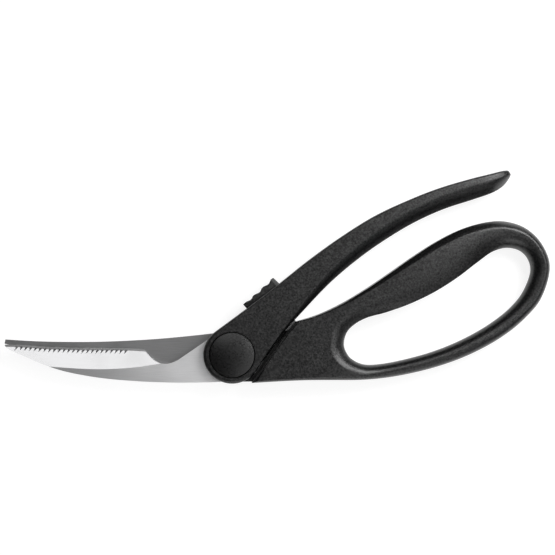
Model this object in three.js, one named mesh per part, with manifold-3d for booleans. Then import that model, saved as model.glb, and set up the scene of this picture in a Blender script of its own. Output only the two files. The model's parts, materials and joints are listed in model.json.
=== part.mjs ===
// Spring-loaded poultry shears, lying flat and closed.
// Frame: millimetres, +Z up. The origin is on the pivot's axis, on the flat rear face that the
// shears lie on. The blades point along -X and the handles along +X.
import * as THREE from "three";
import { mergeVertices } from "three/addons/utils/BufferGeometryUtils.js";
import Module from "manifold-3d";

const wasm = await Module();
wasm.setup();

const TURN = 2 * Math.PI;
const RAD = Math.PI / 180;

// ---------------------------------------------------------------- driving dimensions
const THICK = 18; // handles, rear face to front face
const MID = THICK / 2; // the plane where the two blades meet
const BLADE = 2.5; // blade thickness
const SLIT = 0.1; // half of the gap between the blades
const GAP = 0.1; // between a blade and the hub that carries it
const CLEAR = 0.3; // round a tang or a sliding piece
const HUB_R = 13.1; // the lever's round hub
const REAR_HUB_R = 12.8;
const BLADE_HUB_R = 12.3;
const OPEN_DEG = 30; // how far the lever opens

// Heights of the layers at the pivot.
const REAR_BLADE_Z = MID - SLIT - BLADE;
const FRONT_BLADE_Z = MID + SLIT;
const REAR_HUB_TOP = REAR_BLADE_Z - GAP;
const FRONT_HUB_Z = FRONT_BLADE_Z + BLADE + GAP;

// Pivot hardware.
const BOLT_R = 3.5;
const THREAD_R = 2.5;
const BUSH_R = 4.6;
const BUSH_WALL = 0.1; // radial clearance of the bush on both sides
const CAP_R = 10.45;
const CAP_SEAT = 1.5; // how deep a cap sits in its hub
const CAP_DOME = 1;
const WASHER = 0.8;
const FLOOR = 1; // plastic left under the spring
const SPRING_WELL_R = 9.7;
const HEAD_WELL_R = 7.6;

// Stop pin, in an arc-shaped window of the lever's hub and blade.
const PIN_R = 1.2;
const PIN_ORBIT = 8.2;
const PIN_DEG = -75;
const WINDOW_R = PIN_R + 0.3;

// Torsion spring.
const WIRE_R = 0.55;
const COIL_R = 5.95;
const COIL_TURNS = 2.25;
const COIL_PITCH = 1.15;

// The lock slides along the lever's top edge: "along" runs away from the pivot, "out" away
// from the edge. Lock sizes are in that frame.
const EDGE_DEG = 36.5;
const LOCK_TRAVEL = 4.2;
const BUTTON_Z = [3.5, 14.5];
const HOOK_Z = [5.8, 7.8];
const STEM_Z = [8.1, 12];
const SHANK = [26, 32.4]; // hook shank, along the edge
const HOOK_TIP_OUT = -12.3;
const NOSE_OUT = -10.5;
const NOSE_NECK = 29.6;
const STEM_OUT = 9;
const LIP_ALONG = 25.2;
const CHANNEL_OUT = 12.15; // floor of the channel that the button slides in
const CHANNEL = [13, 37.1];
const LEVER_CUT = 13.2; // the lever's rear half starts here, along the edge
const LOOP_CUT = 12.8; // and the loop handle's hub ends here

const along = new THREE.Vector2(Math.cos(EDGE_DEG * RAD), Math.sin(EDGE_DEG * RAD));
const out = new THREE.Vector2(-along.y, along.x);
const edgePoint = (s, n) =>
  new THREE.Vector2().addScaledVector(along, s).addScaledVector(out, n);
const polar = (radius, degrees) =>
  new THREE.Vector2(radius * Math.cos(degrees * RAD), radius * Math.sin(degrees * RAD));

// ---------------------------------------------------------------- solids
function solidOf(geometry) {
  const bare = geometry.index ? geometry.toNonIndexed() : geometry.clone();
  bare.deleteAttribute("normal");
  bare.deleteAttribute("uv");
  const merged = mergeVertices(bare, 1e-4);
  return new wasm.Manifold(
    new wasm.Mesh({
      numProp: 3,
      vertProperties: merged.attributes.position.array,
      triVerts: new Uint32Array(merged.index.array),
    }),
  );
}

function geometryOf(solid) {
  const { numProp, vertProperties, triVerts } = solid.getMesh();
  const positions = new Float32Array((vertProperties.length / numProp) * 3);
  for (let i = 0; i < positions.length / 3; i += 1)
    positions.set(vertProperties.subarray(i * numProp, i * numProp + 3), i * 3);
  const geometry = new THREE.BufferGeometry();
  geometry.setAttribute("position", new THREE.BufferAttribute(positions, 3));
  geometry.setIndex(new THREE.BufferAttribute(triVerts, 1));
  const flat = geometry.toNonIndexed();
  flat.computeVertexNormals();
  return flat;
}

const vectors = (pairs) => pairs.map(([x, y]) => new THREE.Vector2(x, y));

// A plate with the given outline between two heights.
function plate(points, low, high) {
  const shape = new THREE.Shape(points);
  const settings = { depth: high - low, bevelEnabled: false, steps: 1 };
  return solidOf(new THREE.ExtrudeGeometry(shape, settings).translate(0, 0, low));
}

// A round solid on the Z axis, from [radius, height] pairs that start and end on the axis.
function turned(profile, segments = 48) {
  const lathe = new THREE.LatheGeometry(vectors(profile), segments);
  return solidOf(lathe.rotateX(Math.PI / 2));
}

function cylinder(radius, low, high, centre = new THREE.Vector2(), segments = 48) {
  const round = new THREE.CylinderGeometry(radius, radius, high - low, segments);
  round.rotateX(Math.PI / 2).translate(centre.x, centre.y, (low + high) / 2);
  return solidOf(round);
}

const ring = (outer, inner, low, high, segments = 48) =>
  cylinder(outer, low, high, undefined, segments).subtract(
    cylinder(inner, low - 1, high + 1, undefined, segments),
  );

// A box in the lock's frame: along the edge, out from it, and in height.
function edgeBox([s0, s1], [n0, n1], [low, high]) {
  const corners = [edgePoint(s0, n0), edgePoint(s1, n0), edgePoint(s1, n1), edgePoint(s0, n1)];
  return plate(corners, low, high);
}

// A skin through rings of equal size: closed into a loop, or capped at both ends.
function skin(rings, isLoop) {
  const size = rings[0].length;
  const positions = rings.flat().flatMap((p) => [p.x, p.y, p.z]);
  const faces = [];
  const spans = isLoop ? rings.length : rings.length - 1;
  for (let r = 0; r < spans; r += 1) {
    const here = r * size;
    const next = ((r + 1) % rings.length) * size;
    for (let k = 0; k < size; k += 1) {
      const l = (k + 1) % size;
      faces.push(here + k, next + k, next + l, here + k, next + l, here + l);
    }
  }
  if (!isLoop)
    for (const [r, turn] of [[0, 1], [rings.length - 1, -1]]) {
      const first = r * size;
      for (let k = 1; k < size - 1; k += 1)
        faces.push(...(turn > 0
          ? [first, first + k, first + k + 1]
          : [first, first + k + 1, first + k]));
    }
  const geometry = new THREE.BufferGeometry();
  geometry.setAttribute("position", new THREE.Float32BufferAttribute(positions, 3));
  geometry.setIndex(faces);
  const made = solidOf(geometry);
  if (made.volume() > 0) return made;
  for (let i = 0; i < faces.length; i += 3)
    [faces[i + 1], faces[i + 2]] = [faces[i + 2], faces[i + 1]];
  geometry.setIndex(faces);
  return solidOf(geometry);
}

// ---------------------------------------------------------------- moulded handles
// A section across a handle, from its first edge to its second: each edge is rounded over
// "reach" in plan and "drop" in height, and both faces lie "half" from the middle plane.
const ARC_STEPS = 3;
function section(first, second, firstRound, secondRound, half) {
  const span = first.distanceTo(second);
  const scale = Math.min(1, (0.94 * span) / (firstRound.x + secondRound.x));
  const [reach1, reach2] = [firstRound.x * scale, secondRound.x * scale];
  const [drop1, drop2] = [firstRound.y, secondRound.y].map((d) => Math.min(d, 0.94 * half));
  const upper = [[0, 0]];
  for (let i = 0; i <= ARC_STEPS; i += 1) {
    const a = (i / ARC_STEPS) * (Math.PI / 2);
    upper.push([reach1 * (1 - Math.cos(a)), half - drop1 + drop1 * Math.sin(a)]);
  }
  for (let i = 0; i <= ARC_STEPS; i += 1) {
    const a = (i / ARC_STEPS) * (Math.PI / 2);
    upper.push([span - reach2 + reach2 * Math.sin(a), half - drop2 + drop2 * Math.cos(a)]);
  }
  upper.push([span, 0]);
  const lower = upper.slice(1, -1).reverse().map(([v, z]) => [v, -z]);
  return [...upper, ...lower].map(([v, z]) => {
    const p = first.clone().lerp(second, v / span);
    return new THREE.Vector3(p.x, p.y, MID + z);
  });
}

// Smooth curves through one column of a handle's stations.
const through = (points, closed = false) =>
  new THREE.CatmullRomCurve3(points.map(([x, y, z = 0]) => new THREE.Vector3(x, y, z)), closed);
const flat2 = (v) => new THREE.Vector2(v.x, v.y);

// Lever: top edge, lower edge, lower edge's rounding [reach, drop], half thickness.
const LEVER = [
  { top: [-7.77, 10.54], low: [10.39, -7.97], round: [0.6, 1.1], half: 9 },
  { top: [7.2, 21.6], low: [20.75, 7.1], round: [0.7, 1.3], half: 9 },
  { top: [21.3, 32.4], low: [32.5, 20.2], round: [2.4, 3.6], half: 9 },
  { top: [34.9, 43.2], low: [44.6, 32.8], round: [3.7, 5.4], half: 9 },
  { top: [49.5, 53.7], low: [57.2, 43.5], round: [4.5, 6], half: 9 },
  { top: [64.2, 62.9], low: [69.9, 52.5], round: [4.9, 5.6], half: 8.95 },
  { top: [78.9, 69.9], low: [83.2, 60.4], round: [5.1, 5.8], half: 8.8 },
  { top: [93.6, 75.7], low: [96.9, 66.6], round: [5.2, 5.8], half: 8.5 },
  { top: [108.3, 80.1], low: [110.6, 71.1], round: [5.3, 5.7], half: 8.05 },
  { top: [117.5, 82.4], low: [119.5, 74.3], round: [4.8, 5.4], half: 7.4 },
  { top: [122.6, 83.7], low: [124.2, 77.3], round: [3.4, 5.8], half: 6.4 },
  { top: [125.7, 84.1], low: [126.6, 80.3], round: [1.9, 4.4], half: 5 },
  { top: [127, 83.2], low: [127.3, 81.7], round: [0.7, 2.8], half: 3.4 },
];
const LEVER_TOP_ROUND = 0.9;
const STATION_STEPS = 3;

function leverSkin() {
  const top = through(LEVER.map((s) => s.top));
  const low = through(LEVER.map((s) => s.low));
  const shape = through(LEVER.map((s) => [...s.round, s.half]));
  const count = (LEVER.length - 1) * STATION_STEPS;
  const rings = [];
  for (let i = 0; i <= count; i += 1) {
    const t = i / count;
    const s = shape.getPoint(t);
    const topRound = new THREE.Vector2(LEVER_TOP_ROUND, LEVER_TOP_ROUND);
    const half = Math.min(s.z, MID);
    rings.push(section(flat2(top.getPoint(t)), flat2(low.getPoint(t)), topRound, flat2(s), half));
  }
  return skin(rings, false);
}

// Loop handle, once round: outer edge, edge of the opening, their roundings, half thickness.
// It starts at the top of the step that faces the lever and ends at the step's foot.
const LOOP = [
  { out: [28.6, 14.8], in: [52.3, 10.2], outRound: [0.8, 0.8], inRound: [6.2, 6], half: 9 },
  { out: [38.5, 17.9], in: [56, 14], outRound: [1, 1.5], inRound: [7, 7], half: 9 },
  { out: [49.5, 23], in: [61.5, 16.9], outRound: [1.2, 3], inRound: [8, 8], half: 9 },
  { out: [60.5, 29.5], in: [69.8, 19.2], outRound: [1.6, 5], inRound: [9.5, 8.3], half: 9 },
  { out: [71.6, 37], in: [80.5, 23], outRound: [2.2, 7], inRound: [11.5, 8.4], half: 9 },
  { out: [82.6, 44.7], in: [92, 28.5], outRound: [2.8, 8.4], inRound: [13.5, 8.4], half: 9 },
  { out: [93.6, 51.7], in: [102.8, 35.3], outRound: [3.1, 8.2], inRound: [13, 8.2], half: 8.8 },
  { out: [104.6, 57.2], in: [111.9, 42.2], outRound: [3.3, 7.8], inRound: [11, 7.8], half: 8.4 },
  { out: [115.6, 60.4], in: [119.3, 47.2], outRound: [3.4, 7.4], inRound: [8.5, 7.4], half: 7.9 },
  { out: [124.6, 60.9], in: [126, 48.8], outRound: [3.5, 6.9], inRound: [7, 6.9], half: 7.4 },
  { out: [134, 58], in: [131.8, 47.4], outRound: [3.5, 6.5], inRound: [6.3, 6.5], half: 7 },
  { out: [141.3, 51.3], in: [135.2, 44], outRound: [3.4, 6.1], inRound: [5.6, 6.1], half: 6.6 },
  { out: [145.4, 40.8], in: [136.6, 38.4], outRound: [3.4, 5.9], inRound: [5.2, 5.9], half: 6.3 },
  { out: [141.5, 25.8], in: [133, 28.5], outRound: [3.5, 5.7], inRound: [4.8, 5.7], half: 6.1 },
  { out: [133.9, 16.4], in: [127.4, 21.5], outRound: [3.5, 5.5], inRound: [4.2, 5.5], half: 5.9 },
  { out: [122.9, 7.6], in: [118, 14], outRound: [3.5, 5.3], inRound: [3.9, 5.3], half: 5.7 },
  { out: [108.3, -0.3], in: [104.9, 6.6], outRound: [3.5, 5.2], inRound: [3.6, 5.2], half: 5.6 },
  { out: [93.6, -5.7], in: [91.3, 1.1], outRound: [3.4, 5.1], inRound: [3.3, 5.1], half: 5.5 },
  { out: [78.9, -9.3], in: [77.8, -2.6], outRound: [3.2, 5.1], inRound: [3.1, 5.1], half: 5.5 },
  { out: [67.9, -11], in: [68.2, -4.4], outRound: [2.9, 5], inRound: [3.1, 5.4], half: 5.9 },
  { out: [58, -11.6], in: [61.5, -4.8], outRound: [2.2, 4], inRound: [4.2, 6], half: 7.2 },
  { out: [45.9, -11.5], in: [56.6, -3.4], outRound: [2, 2.6], inRound: [5.4, 6], half: 8.6 },
  { out: [31.2, -11.6], in: [53.6, -1.2], outRound: [1.9, 2], inRound: [6, 6], half: 9 },
  { out: [8.9, -12.8], in: [51.8, 1.6], outRound: [1.6, 1.6], inRound: [6.3, 5.5], half: 9 },
];
const STEP_MIDDLE = { in: [51, 5.2], outRound: [0.4, 0.4], inRound: [6.2, 5.5], half: 9 };

function loopSkin() {
  const ends = [LOOP.at(-1), LOOP[0]];
  const middle = {
    ...STEP_MIDDLE,
    out: [0, 1].map((axis) => (ends[0].out[axis] + ends[1].out[axis]) / 2),
  };
  const rows = [...LOOP, middle];
  const outer = through(LOOP.map((s) => s.out));
  const inner = through(rows.map((s) => s.in), true);
  const outerShape = through(rows.map((s) => [...s.outRound, s.half]), true);
  const innerShape = through(rows.map((s) => s.inRound), true);
  const [foot, head] = [outer.getPoint(1), outer.getPoint(0)];
  const count = rows.length * STATION_STEPS;
  const rings = [];
  for (let i = 0; i < count; i += 1) {
    const row = i / STATION_STEPS;
    const onCurve = row / (LOOP.length - 1);
    const edge = onCurve <= 1
      ? outer.getPoint(onCurve)
      : foot.clone().lerp(head, (row - LOOP.length + 1) / 2);
    const t = i / count;
    const shape = outerShape.getPoint(t);
    rings.push(section(
      flat2(edge), flat2(inner.getPoint(t)), flat2(shape), flat2(innerShape.getPoint(t)),
      Math.min(shape.z, MID),
    ));
  }
  return skin(rings, true);
}

// ---------------------------------------------------------------- blades
const spline = (points, steps) => new THREE.SplineCurve(vectors(points)).getPoints(steps);
const arc = (radius, from, to, steps) =>
  Array.from({ length: steps + 1 }, (_, i) => polar(radius, from + ((to - from) * i) / steps));

const FRONT_EDGE = [[-40.6, 2.3], [-48.6, 2.8], [-68.6, 3], [-83.8, 3.4], [-97, 4.3], [-104.2, 4.5]];
const FRONT_BELLY = [
  [-104.4, 4], [-102.2, 2.1], [-95, -1], [-87, -4.4], [-76.4, -7.8],
  [-62, -10.5], [-47, -12], [-30, -12.8], [-14, -12.8], [-1, -12.26],
];
const NOTCH = [
  [-25, -2.6], [-28, -3.9], [-31, -4.3], [-34, -3.7], [-37, -1.7], [-39.2, 0.6], [-40.6, 2.3],
];
const FRONT_TANG = [[11.6, -4.1], [30, -1], [50, 4], [52.4, 5], [52.6, 8.4], [50, 9.3], [30, 7], [11, 5.5]];
const SPINE = [
  [-104.2, 6.8], [-91, 6], [-76.4, 5.65], [-61.7, 5.7], [-47, 6.25],
  [-32.3, 7.2], [-17.7, 8.6], [-7.5, 9.75],
];
const REAR_EDGE = [
  [-9.5, -9], [-25, -7.6], [-40, -5], [-60, -2.6], [-80, 0.2], [-95, 2.9], [-104.6, 4.9],
];
const REAR_TANG = [[11.9, -3.2], [17, -3], [24, -1.6], [43, -1], [45, -2.4], [45, -5.6], [43, -7.2], [20, -9], [8.6, -8.8]];

// A ground face, as the wedge to take off: "rows" pair a point where the grind starts, at the
// blade's face, with a point near the edge; "away" is +1 to take off what lies above, -1 below.
function grind(rows, away, overrun) {
  const rings = rows.map(([from, to]) => {
    const at = (t, lift = 0) => from.clone().lerp(to, t).add(new THREE.Vector3(0, 0, lift));
    return [at(-0.3), at(overrun), at(overrun, away * 4 * BLADE), at(-0.3, away * 3 * BLADE)];
  });
  return skin(rings, false);
}

// The front blade's bevel runs from GRIND_LINE, on the face, down to HONE_LINE at a constant
// slope, and a second, steeper grind of a constant width makes the edge.
const GRIND_LINE = [
  [-31, -3.8], [-39, -5.1], [-47, -6.1], [-58, -6.7], [-69, -6.5], [-84, -5.5], [-95, -4.6], [-109, -3.1],
];
const HONE_LINE = [
  [-31, 0.9], [-40, 1.3], [-47, 1.7], [-57, 1.85], [-69, 1.9], [-84, 2.3], [-95, 3.1], [-109, 3.7],
];
const BEVEL_SLOPE = 0.225;
const HONE_SLOPE = 0.42;
const HONE_WIDTH = 1.15;

// The height of a curve given by its points, at an X.
function heightAt(points, x) {
  const next = points.findIndex((p) => p.x <= x);
  const [a, b] = [points[next - 1], points[next]];
  return a.y + ((b.y - a.y) * (x - a.x)) / (b.x - a.x);
}
const grindCurve = new THREE.SplineCurve(vectors(GRIND_LINE)).getPoints(120);
const honeCurve = new THREE.SplineCurve(vectors(HONE_LINE)).getPoints(120);
const bevelZ = (x, y) => FRONT_BLADE_Z + BLADE - BEVEL_SLOPE * (y - heightAt(grindCurve, x));

// The bevel and the hone together, as the wedges to take off.
function frontGrinds() {
  const count = 26;
  const rows = { bevel: [], hone: [] };
  for (let i = 0; i <= count; i += 1) {
    const x = -31.5 - (i / count) * 77;
    const start = heightAt(grindCurve, x);
    const end = heightAt(honeCurve, x);
    const at = (y, drop = 0) => new THREE.Vector3(x, y, bevelZ(x, Math.min(y, end)) - drop);
    rows.bevel.push([at(start), at(end)]);
    rows.hone.push([at(end), at(end + HONE_WIDTH, HONE_WIDTH * HONE_SLOPE)]);
  }
  return grind(rows.bevel, 1, 1.4).add(grind(rows.hone, 1, 2.5));
}

const TEETH = 24;
const TOOTH_PITCH = 2.18;
const TOOTH_START = -49.4;
// One tooth's cut, in plan from its corner on the hone: down along a steep wall, and up again
// along a shallow side that runs out at the surface. [along X, along Y, depth]
const TOOTH = [[0, 0.2, 0.4], [-0.4, -1.75, 0.24], [1.5, 0.2, -0.02]];

// Saw-shaped cuts across the bevel, from the hone down.
function serrations() {
  const cuts = [];
  for (let i = 0; i < TEETH; i += 1) {
    const x = TOOTH_START - i * TOOTH_PITCH;
    const y = heightAt(honeCurve, x);
    const floor = TOOTH.map(([dx, dy, depth]) =>
      new THREE.Vector3(x + dx, y + dy, bevelZ(x, y + dy) - depth));
    const lid = floor.map((p) => p.clone().setZ(FRONT_BLADE_Z + 2 * BLADE));
    cuts.push(skin([floor, lid], false));
  }
  return wasm.Manifold.union(cuts);
}

// The stop pin's arc-shaped window, cut through everything between two heights.
function stopWindow(low, high) {
  const from = PIN_DEG - OPEN_DEG;
  const outline = [
    ...arc(PIN_ORBIT + WINDOW_R, from, PIN_DEG, 12),
    ...arc(WINDOW_R, PIN_DEG, PIN_DEG + 180, 8).slice(1, -1)
      .map((p) => p.add(polar(PIN_ORBIT, PIN_DEG))),
    ...arc(PIN_ORBIT - WINDOW_R, PIN_DEG, from, 12),
    ...arc(WINDOW_R, from + 180, from + 360, 8).slice(1, -1)
      .map((p) => p.add(polar(PIN_ORBIT, from))),
  ];
  return plate(outline, low, high);
}

const pinHole = (extra, low, high) => cylinder(PIN_R + extra, low, high, polar(PIN_ORBIT, PIN_DEG), 24);
const bushHole = (low, high) => cylinder(BUSH_R + BUSH_WALL, low, high);

const tangOf = (points) => points.map(([s, n]) => edgePoint(s, n));
const grown = (solid, by) => {
  const box = (x, y) => solid.translate([x, y, 0]);
  return wasm.Manifold.union([box(by, by), box(-by, by), box(by, -by), box(-by, -by)]);
};

function frontBlade() {
  const tang = tangOf(FRONT_TANG);
  const angleOf = (p) => p.angle() / RAD;
  const outline = [
    ...spline(FRONT_BELLY, 60),
    ...arc(BLADE_HUB_R, -88, angleOf(tang[0]), 12).slice(1, -1),
    ...tang,
    ...arc(BLADE_HUB_R, angleOf(tang.at(-1)), 143.6, 14).slice(1, -1),
    new THREE.Vector2(-9.9, 7.3),
    new THREE.Vector2(-11.7, 6.5),
    ...spline(NOTCH, 24),
    ...spline(FRONT_EDGE, 30).slice(1),
  ];
  return plate(outline, FRONT_BLADE_Z, FRONT_BLADE_Z + BLADE)
    .subtract(frontGrinds())
    .subtract(serrations())
    .subtract(bushHole(0, THICK))
    .subtract(cylinder(SHIM_R + 0.2, 0, SHIM_TOP + GAP))
    .subtract(stopWindow(0, THICK));
}

const SHIM_R = 6.4;
const SHIM_TOP = MID + 0.7;

const REAR_BEVEL_WIDTH = 7;
function rearBlade() {
  const outline = [
    ...spline(SPINE, 40),
    ...arc(BLADE_HUB_R, 126, -14, 20).slice(1, -1),
    ...vectors(REAR_TANG),
    ...arc(BLADE_HUB_R, -46, -136, 12).slice(1),
    ...spline(REAR_EDGE, 40),
  ];
  const edge = [...REAR_EDGE.slice(1), [-110, 6.3]];
  const rows = edge.map(([x, y]) => [
    new THREE.Vector3(x, y + REAR_BEVEL_WIDTH, REAR_BLADE_Z),
    new THREE.Vector3(x, y, REAR_BLADE_Z + BLADE - 0.2),
  ]);
  return plate(outline, REAR_BLADE_Z, REAR_BLADE_Z + BLADE)
    .subtract(grind(rows, -1, 1.5))
    .subtract(bushHole(0, THICK))
    .subtract(pinHole(0.05, 0, THICK));
}

// ---------------------------------------------------------------- handles, with their cut-outs
const HUB_ROUND = 1.4;
function roundedHub() {
  const profile = [[0, FRONT_HUB_Z], [HUB_R, FRONT_HUB_Z]];
  for (let i = 0; i <= ARC_STEPS; i += 1) {
    const a = (i / ARC_STEPS) * (Math.PI / 2);
    profile.push([HUB_R - HUB_ROUND * (1 - Math.cos(a)), THICK - HUB_ROUND * (1 - Math.sin(a))]);
  }
  return turned([...profile, [0, THICK]], 64);
}

// The pocket that a tang fills in a handle, with clearance.
const tangPocket = (points, low) =>
  grown(plate(points, low - 0.15, low + BLADE + 0.15), CLEAR);

const slotAlong = [SHANK[0] - LOCK_TRAVEL - CLEAR, SHANK[1] + CLEAR];
const DETENT = { along: [22.5, 31.5], out: [1, 4], low: 4.8 };

function leverHandle() {
  const wide = 200;
  const window = stopWindow(0, THICK - CAP_SEAT - 1);
  return leverSkin()
    .subtract(edgeBox([-wide, LEVER_CUT], [-wide, wide], [-1, FRONT_HUB_Z]))
    .add(roundedHub())
    .subtract(bushHole(0, THICK))
    .subtract(cylinder(SPRING_WELL_R, FRONT_HUB_Z + FLOOR, THICK + 1))
    .subtract(cylinder(CAP_R + 0.15, THICK - CAP_SEAT, THICK + 2, undefined, 64))
    .subtract(edgeBox([-0.9, 0.9], [SPRING_WELL_R - 1, SPRING_WELL_R + 1.6], [15.1, THICK - CAP_SEAT]))
    .subtract(window)
    .subtract(tangPocket(tangOf(FRONT_TANG), FRONT_BLADE_Z))
    .subtract(edgeBox(slotAlong, [-12, 18], [HOOK_Z[0] - CLEAR, HOOK_Z[1] + CLEAR]))
    .subtract(edgeBox(slotAlong, [STEM_OUT - CLEAR, 18], [HOOK_Z[1], STEM_Z[1] + CLEAR]))
    .subtract(edgeBox(CHANNEL, [CHANNEL_OUT, 18], [BUTTON_Z[0] - CLEAR, BUTTON_Z[1] + CLEAR]))
    .subtract(edgeBox(DETENT.along, DETENT.out, [DETENT.low, HOOK_Z[0]]))
    .subtract(stepStrip(REBATE));
}

const BUMPER = { out: -6, z: 3.2, radius: 1.6, from: 10.4, to: 13.05 };
function bumperRod(radius, from, to) {
  const rod = new THREE.CylinderGeometry(radius, radius, to - from, 32);
  const base = edgePoint((from + to) / 2, BUMPER.out);
  rod.rotateZ(EDGE_DEG * RAD - Math.PI / 2).translate(base.x, base.y, BUMPER.z);
  return solidOf(rod);
}

// The rear half of the pivot, under both blades, running into the loop handle's web.
function rearHub() {
  const cut = edgePoint(LOOP_CUT, 0);
  const outline = [
    ...arc(REAR_HUB_R, EDGE_DEG, 268, 64),
    new THREE.Vector2(8.9, -12.7),
    new THREE.Vector2(24, -11.4),
    new THREE.Vector2(24, 4),
    new THREE.Vector2(17.3, -1.9),
    cut.clone().lerp(new THREE.Vector2(17.3, -1.9), 0.02),
  ];
  return plate(outline, 0, REAR_HUB_TOP);
}

// The step that faces the lever: a narrow ledge below the front face, a relieved upper corner,
// a lower wall in two lengths that closes the gap behind, and a tongue that reaches under the lever, into a
// rebate. A strip's ends give how far up the step they lie, from the foot, and the strip's two
// sides, measured across the step towards the opening.
const LEDGE = { ends: [[-0.2, -1, 0.65], [0.8, -1, 0.9]], z: [THICK - 2.2, THICK + 1] };
const RELIEF = { ends: [[0.8, -2, 0.6], [1.1, -1.5, 1.9]], z: [9.2, THICK + 1] };
const LOW_WALL = { ends: [[0.01, -1.25, 0.4], [0.62, -1.3, 0.4]], z: [0.8, 10.3] };
const HIGH_WALL = { ends: [[0.61, -0.65, 0.4], [0.97, 0.1, 0.4]], z: [0.8, 10.3] };
const TONGUE = { ends: [[0.3, -2.3, 0.4], [1, -1.35, 0.4]], z: [0.5, 2.6] };
const REBATE = { ends: [[0.2, -2.8, 1], [1.06, -1.7, 1]], z: [-1, 2.9] };

function stepStrip({ ends: [low, high], z }) {
  const [foot, head] = vectors([LOOP.at(-1).out, LOOP[0].out]);
  const inward = head.clone().sub(foot).normalize().rotateAround(new THREE.Vector2(), -Math.PI / 2);
  const corner = (up, across) => foot.clone().lerp(head, up).addScaledVector(inward, across);
  const outline = [
    corner(low[0], low[1]), corner(low[0], low[2]), corner(high[0], high[2]), corner(high[0], high[1]),
  ];
  return plate(outline, ...z);
}

const POCKET_OUT = HOOK_TIP_OUT - CLEAR;
const LIP_OUT = NOSE_OUT + CLEAR;
const POCKET_END = 35;
const POCKET_Z = [HOOK_Z[0] - 0.5, HOOK_Z[1] + 0.5];

function loopHandle() {
  const noseEnd = SHANK[0] - LOCK_TRAVEL - CLEAR;
  return loopSkin()
    .add(rearHub())
    .add(stepStrip(LOW_WALL))
    .add(stepStrip(HIGH_WALL))
    .add(stepStrip(TONGUE))
    .subtract(stepStrip(LEDGE))
    .subtract(stepStrip(RELIEF))
    .subtract(cylinder(CAP_R + 0.15, -1, CAP_SEAT + 0.2, undefined, 64))
    .subtract(cylinder(HEAD_WELL_R, -1, REAR_HUB_TOP - FLOOR - 0.1))
    .subtract(bushHole(-1, THICK))
    .subtract(pinHole(0.1, REAR_HUB_TOP - 1.7, THICK))
    .subtract(tangPocket(vectors(REAR_TANG), REAR_BLADE_Z))
    .subtract(edgeBox([noseEnd, POCKET_END], [POCKET_OUT, LIP_OUT], POCKET_Z))
    .subtract(edgeBox([LIP_ALONG, POCKET_END], [POCKET_OUT, 0], POCKET_Z))
    .subtract(bumperRod(BUMPER.radius + 0.05, BUMPER.from - 0.1, BUMPER.to + 4));
}

// ---------------------------------------------------------------- pivot hardware
function pivotBolt() {
  const headLow = 2.3;
  const headTop = headLow + 2;
  const body = turned([
    [0, headLow], [5.9, headLow], [6.3, headLow + 0.4], [6.3, headTop], [BOLT_R, headTop],
    [BOLT_R, FRONT_HUB_Z + FLOOR + 0.15], [THREAD_R, FRONT_HUB_Z + FLOOR + 0.35],
    [THREAD_R, 15.9], [THREAD_R - 0.4, 16.2], [0, 16.2],
  ]);
  const socket = plate(arc(2.3, 0, 360, 6).slice(0, -1), headLow - 1, headLow + 1.3);
  return body.subtract(socket);
}

function hexNut() {
  const low = FRONT_HUB_Z + FLOOR + 1.2;
  const hex = plate(arc(4.6, 0, 360, 6).slice(0, -1), low, low + 2.4);
  return hex.subtract(cylinder(THREAD_R + 0.1, 0, THICK, undefined, 32));
}

// A cap with a domed outer face and a soft rim; "face" is the height of its flat back.
function domedCap() {
  const low = THICK - CAP_SEAT + 0.1;
  const rim = 0.35;
  const profile = [[0, low], [CAP_R, low], [CAP_R, THICK - rim], [CAP_R - rim, THICK]];
  const steps = 5;
  for (let i = steps - 1; i >= 0; i -= 1) {
    const r = ((CAP_R - rim) * i) / steps;
    profile.push([r, THICK + CAP_DOME * (1 - (r / (CAP_R - rim)) ** 2)]);
  }
  return turned(profile, 64);
}

function flatCap() {
  const rim = 0.3;
  return turned([
    [0, 0], [CAP_R - rim, 0], [CAP_R, rim], [CAP_R, CAP_SEAT], [0, CAP_SEAT],
  ], 64);
}

// Torsion spring: a foot behind the stop pin, the coil, and a foot in the lever's hub.
function torsionSpring() {
  const low = FRONT_HUB_Z + FLOOR + 0.65;
  const footDeg = PIN_DEG + (Math.asin((PIN_R + WIRE_R + 0.08) / PIN_ORBIT) * 180) / Math.PI;
  const endDeg = footDeg + COIL_TURNS * 360;
  const at = (radius, degrees, z) => {
    const p = polar(radius, degrees);
    return new THREE.Vector3(p.x, p.y, z);
  };
  const points = [at(9, footDeg, low), at(7.6, footDeg, low)];
  const perTurn = 16;
  const count = Math.round(COIL_TURNS * perTurn);
  for (let i = 1; i <= count - 1; i += 1) {
    const share = i / count;
    points.push(at(COIL_R, footDeg + share * (endDeg - footDeg), low + share * COIL_TURNS * COIL_PITCH));
  }
  const top = low + COIL_TURNS * COIL_PITCH;
  points.push(at(7.6, endDeg, top), at(9.1, endDeg, top));
  const path = new THREE.CatmullRomCurve3(points, false, "centripetal");
  const wire = new THREE.Shape(arc(WIRE_R, 0, 360, 8).slice(0, -1));
  const settings = { steps: 72, extrudePath: path, bevelEnabled: false };
  return solidOf(new THREE.ExtrudeGeometry(wire, settings));
}

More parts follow.
